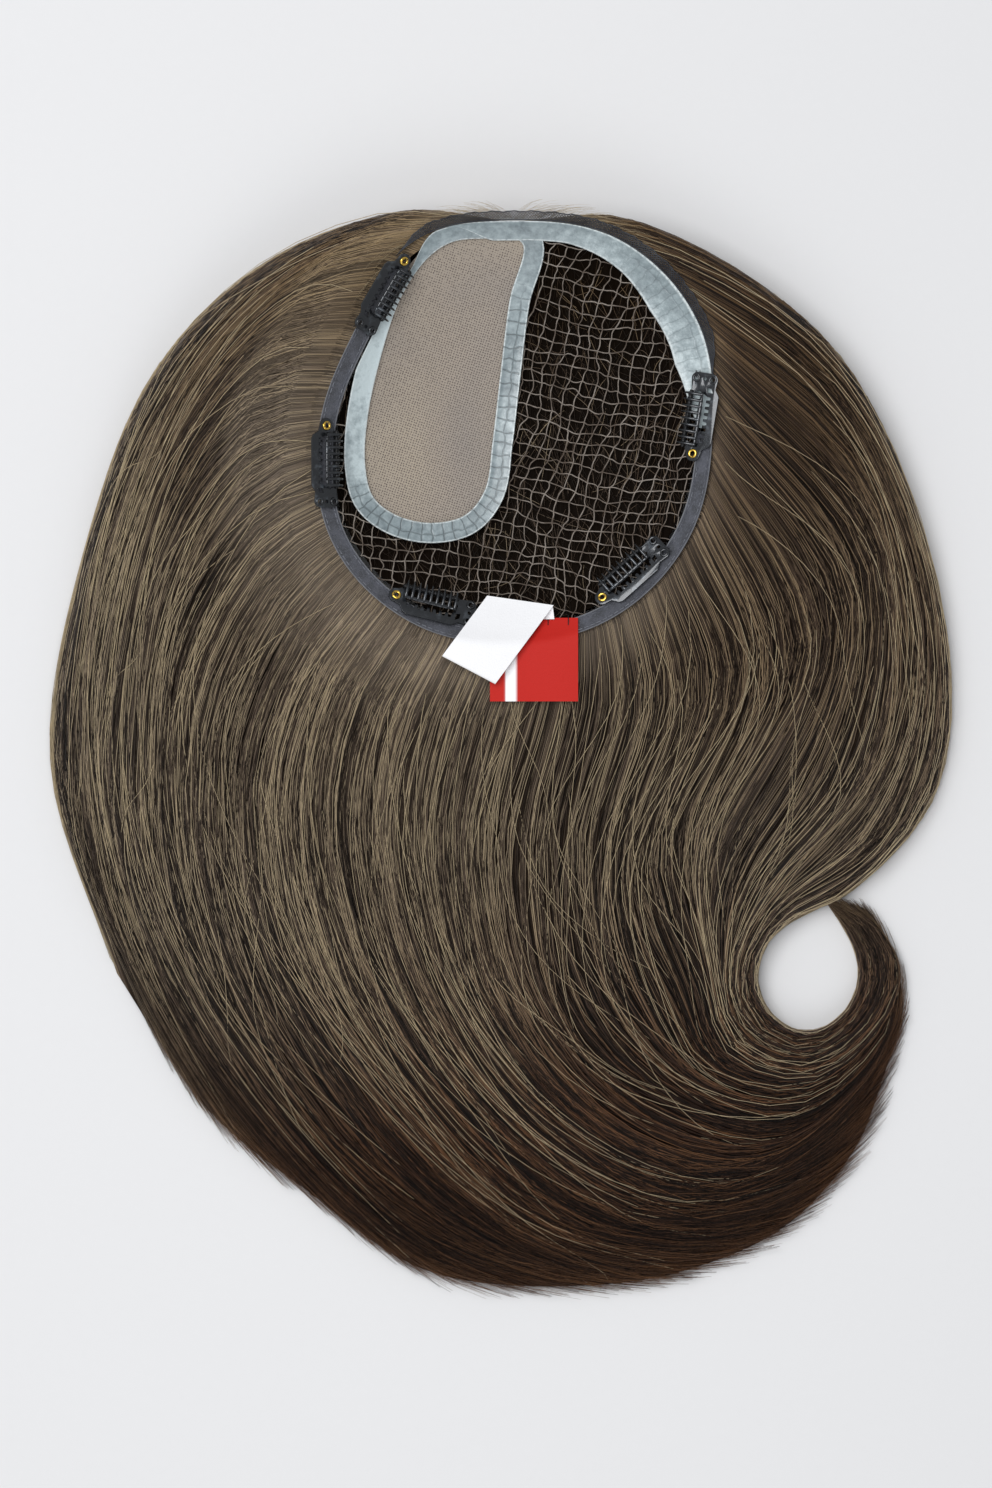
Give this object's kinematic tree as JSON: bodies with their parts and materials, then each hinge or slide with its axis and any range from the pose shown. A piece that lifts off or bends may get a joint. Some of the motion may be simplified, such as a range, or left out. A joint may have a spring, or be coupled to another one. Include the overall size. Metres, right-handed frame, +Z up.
{
  "type": "clip-in hair topper",
  "caption": "Hair topper on its back: oval net base with silk patch, clear border, edge tape and snap clips, its long dark brown hair fanned out and one lock curled.",
  "frame": {"origin": "middle of the bounding box on the surface that the topper lies on", "axes": "+Z up from that surface into the open base, +Y towards the front hairline of the base, +X to the side with the curled lock"},
  "size_m": [0.3138, 0.3754, 0.04],
  "materials": {
    "hair": "long dark brown hair with lighter taupe streaks, satin",
    "net": "knotted elastic net thread, matt",
    "silk": "beige silk gauze dotted with hair roots, matt",
    "skin": "clear grey-blue polyurethane skin, satin",
    "tape": "dark grey woven binding tape, matt",
    "lace": "dark fine lace, matt",
    "clip_metal": "black lacquered spring steel, semi-gloss",
    "clip_tube": "black silicone grip tube, matt",
    "eyelet": "bright gold eyelet, polished",
    "red_cloth": "red woven satin label, satin",
    "white_cloth": "white printed-label ribbon left bare, satin"
  },
  "bodies": {
    "root": {"clip_back_left_eyelet": "eyelet", "clip_back_left_plate": "clip_metal", "clip_back_left_tube": "clip_tube", "clip_back_right_eyelet": "eyelet", "clip_back_right_plate": "clip_metal", "clip_back_right_tube": "clip_tube", "clip_front_left_eyelet": "eyelet", "clip_front_left_plate": "clip_metal", "clip_front_left_tube": "clip_tube", "clip_left_eyelet": "eyelet", "clip_left_plate": "clip_metal", "clip_left_tube": "clip_tube", "clip_right_eyelet": "eyelet", "clip_right_plate": "clip_metal", "clip_right_tube": "clip_tube", "edge_tape": "tape", "hair_back": "hair", "hair_back_left": "hair", "hair_back_right": "hair", "hair_front_left": "hair", "hair_front_right": "hair", "hair_left": "hair", "hair_under": "hair", "lace_edge": "lace", "net": "net", "red_label": "red_cloth", "silk_patch": "silk", "skin_border": "skin", "white_label": "white_cloth"},
    "clip_back_left_comb": {"clip_back_left_comb": "clip_metal"},
    "clip_back_right_comb": {"clip_back_right_comb": "clip_metal"},
    "clip_front_left_comb": {"clip_front_left_comb": "clip_metal"},
    "clip_left_comb": {"clip_left_comb": "clip_metal"},
    "clip_right_comb": {"clip_right_comb": "clip_metal"}
  },
  "joints": [
    {"name": "clip_back_left_snap", "type": "hinge", "parent": "root", "child": "clip_back_left_comb", "pos_m": [-0.02446, 0.05103, 0.03292], "axis": [0.9632, -0.2406, -0.1194], "range_deg": [0, 60]},
    {"name": "clip_back_right_snap", "type": "hinge", "parent": "root", "child": "clip_back_right_comb", "pos_m": [0.04408, 0.06102, 0.03044], "axis": [0.7447, 0.6672, -0.0184], "range_deg": [0, 60]},
    {"name": "clip_front_left_snap", "type": "hinge", "parent": "root", "child": "clip_front_left_comb", "pos_m": [-0.03905, 0.15872, 0.0366], "axis": [-0.5026, -0.8639, 0.0336], "range_deg": [0, 60]},
    {"name": "clip_left_snap", "type": "hinge", "parent": "root", "child": "clip_left_comb", "pos_m": [-0.0598, 0.10031, 0.03721], "axis": [0.0029, -0.9999, -0.0145], "range_deg": [0, 60]},
    {"name": "clip_right_snap", "type": "hinge", "parent": "root", "child": "clip_right_comb", "pos_m": [0.06839, 0.11452, 0.03072], "axis": [0.1604, 0.985, 0.0635], "range_deg": [0, 60]}
  ]
}
